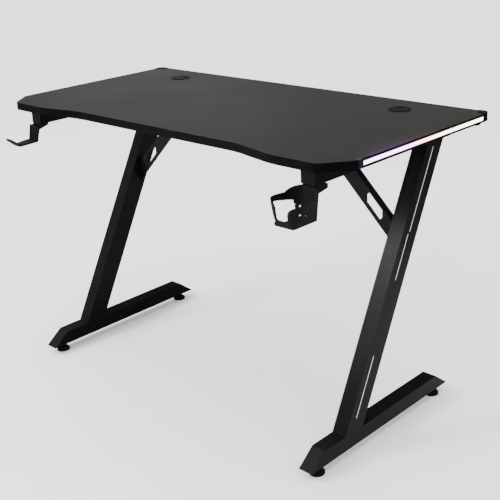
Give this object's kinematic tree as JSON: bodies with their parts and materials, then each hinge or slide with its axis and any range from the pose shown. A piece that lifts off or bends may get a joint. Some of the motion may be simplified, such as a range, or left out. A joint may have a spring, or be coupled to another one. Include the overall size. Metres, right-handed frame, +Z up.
{
  "type": "gaming desk",
  "caption": "Gaming desk with a shallow-recessed dark top, lit side edges, leaning Z-shaped legs on levelling feet, a cup holder and a headphone hook.",
  "frame": {"origin": "on the floor under the middle of the bounding box", "axes": "+X to the sitter's right along the width, +Y from front to back, +Z up"},
  "size_m": [1.2, 0.656, 0.7615],
  "materials": {
    "black_powder_coated_steel": "fine satin powder coat",
    "dark_grey_laminated_board": "matte dark grey laminate on fibreboard",
    "black_edge_band": "matte black edge band",
    "aluminium_channel": "black anodised",
    "smoked_violet_plastic": "smoked translucent end block, weakly lit from inside",
    "white_led_tape": "white flexible circuit tape",
    "lit_diffuser": "milky translucent diffuser, lit",
    "black_moulded_plastic": "fine spark-textured moulding",
    "zinc_plated_steel": "bright zinc plate",
    "green_circuit_board": "solder mask",
    "black_lead_sheath": "soft PVC sheath"
  },
  "bodies": {
    "desk": {"beam_bolts": "zinc_plated_steel", "beam_end_plates": "black_powder_coated_steel", "beam_screws": "zinc_plated_steel", "brace_bolts": "zinc_plated_steel", "cable_clips": "black_moulded_plastic", "controller_base": "black_moulded_plastic", "controller_board": "green_circuit_board", "controller_case": "black_moulded_plastic", "controller_screws": "zinc_plated_steel", "corner_caps": "black_moulded_plastic", "cross_beam": "black_powder_coated_steel", "cup_holder": "black_moulded_plastic", "cup_screws": "zinc_plated_steel", "desktop_panel": "dark_grey_laminated_board", "edge_band": "black_edge_band", "foot_end_plates": "black_powder_coated_steel", "foot_left": "black_powder_coated_steel", "foot_right": "black_powder_coated_steel", "grommet_sleeve_left": "black_moulded_plastic", "grommet_sleeve_right": "black_moulded_plastic", "headphone_hook": "black_moulded_plastic", "hook_screws": "zinc_plated_steel", "knee_brace_left": "black_powder_coated_steel", "knee_brace_right": "black_powder_coated_steel", "led_channel_left": "aluminium_channel", "led_channel_right": "aluminium_channel", "led_diffuser_left": "lit_diffuser", "led_diffuser_right": "lit_diffuser", "led_end_blocks": "smoked_violet_plastic", "led_end_caps": "black_moulded_plastic", "led_lead_left": "black_lead_sheath", "led_lead_right": "black_lead_sheath", "led_tape_left": "white_led_tape", "led_tape_right": "white_led_tape", "leveller_nuts": "zinc_plated_steel", "power_socket": "black_moulded_plastic", "rail_end_plugs": "black_moulded_plastic", "rail_screws": "zinc_plated_steel", "top_rail_left": "black_powder_coated_steel", "top_rail_right": "black_powder_coated_steel", "upright_left": "black_powder_coated_steel", "upright_right": "black_powder_coated_steel"},
    "pad_front_right": {"leveller_pad_front_right": "black_moulded_plastic"},
    "stud_front_right": {"leveller_stud_front_right": "zinc_plated_steel"},
    "pad_front_left": {"leveller_pad_front_left": "black_moulded_plastic"},
    "stud_front_left": {"leveller_stud_front_left": "zinc_plated_steel"},
    "pad_back_right": {"leveller_pad_back_right": "black_moulded_plastic"},
    "stud_back_right": {"leveller_stud_back_right": "zinc_plated_steel"},
    "pad_back_left": {"leveller_pad_back_left": "black_moulded_plastic"},
    "stud_back_left": {"leveller_stud_back_left": "zinc_plated_steel"},
    "cap_right": {"grommet_cap_right": "black_moulded_plastic"},
    "cap_left": {"grommet_cap_left": "black_moulded_plastic"},
    "mode_button": {"mode_button": "black_moulded_plastic"}
  },
  "joints": [
    {"name": "pad_front_right_height", "type": "slide", "parent": "desk", "child": "pad_front_right", "axis": [0, 0, 1], "range_m": [-0.01, 0.003]},
    {"name": "stud_front_right_turn", "type": "hinge", "parent": "pad_front_right", "child": "stud_front_right", "pos_m": [0.498, -0.229, 0.02], "axis": [0, 0, 1], "range_deg": [-2880, 864]},
    {"name": "pad_front_left_height", "type": "slide", "parent": "desk", "child": "pad_front_left", "axis": [0, 0, 1], "range_m": [-0.01, 0.003]},
    {"name": "stud_front_left_turn", "type": "hinge", "parent": "pad_front_left", "child": "stud_front_left", "pos_m": [-0.498, -0.229, 0.02], "axis": [0, 0, 1], "range_deg": [-2880, 864]},
    {"name": "pad_back_right_height", "type": "slide", "parent": "desk", "child": "pad_back_right", "axis": [0, 0, 1], "range_m": [-0.01, 0.003]},
    {"name": "stud_back_right_turn", "type": "hinge", "parent": "pad_back_right", "child": "stud_back_right", "pos_m": [0.498, 0.242, 0.02], "axis": [0, 0, 1], "range_deg": [-2880, 864]},
    {"name": "pad_back_left_height", "type": "slide", "parent": "desk", "child": "pad_back_left", "axis": [0, 0, 1], "range_m": [-0.01, 0.003]},
    {"name": "stud_back_left_turn", "type": "hinge", "parent": "pad_back_left", "child": "stud_back_left", "pos_m": [-0.498, 0.242, 0.02], "axis": [0, 0, 1], "range_deg": [-2880, 864]},
    {"name": "cap_right_turn", "type": "hinge", "parent": "desk", "child": "cap_right", "pos_m": [0.403, 0.232, 0.76], "axis": [0, 0, 1], "continuous": true},
    {"name": "cap_left_turn", "type": "hinge", "parent": "desk", "child": "cap_left", "pos_m": [-0.403, 0.232, 0.76], "axis": [0, 0, 1], "continuous": true},
    {"name": "mode_button_press", "type": "slide", "parent": "desk", "child": "mode_button", "axis": [0, 0, 1], "range_m": [0, 0.0012], "stiffness_N_per_m": 400, "springref_m": -0.002}
  ],
  "couplings": [
    {"joint": "stud_front_right_turn", "follows": "pad_front_right_height", "rad_per_m": 5026.5},
    {"joint": "stud_front_left_turn", "follows": "pad_front_left_height", "rad_per_m": 5026.5},
    {"joint": "stud_back_right_turn", "follows": "pad_back_right_height", "rad_per_m": 5026.5},
    {"joint": "stud_back_left_turn", "follows": "pad_back_left_height", "rad_per_m": 5026.5}
  ]
}
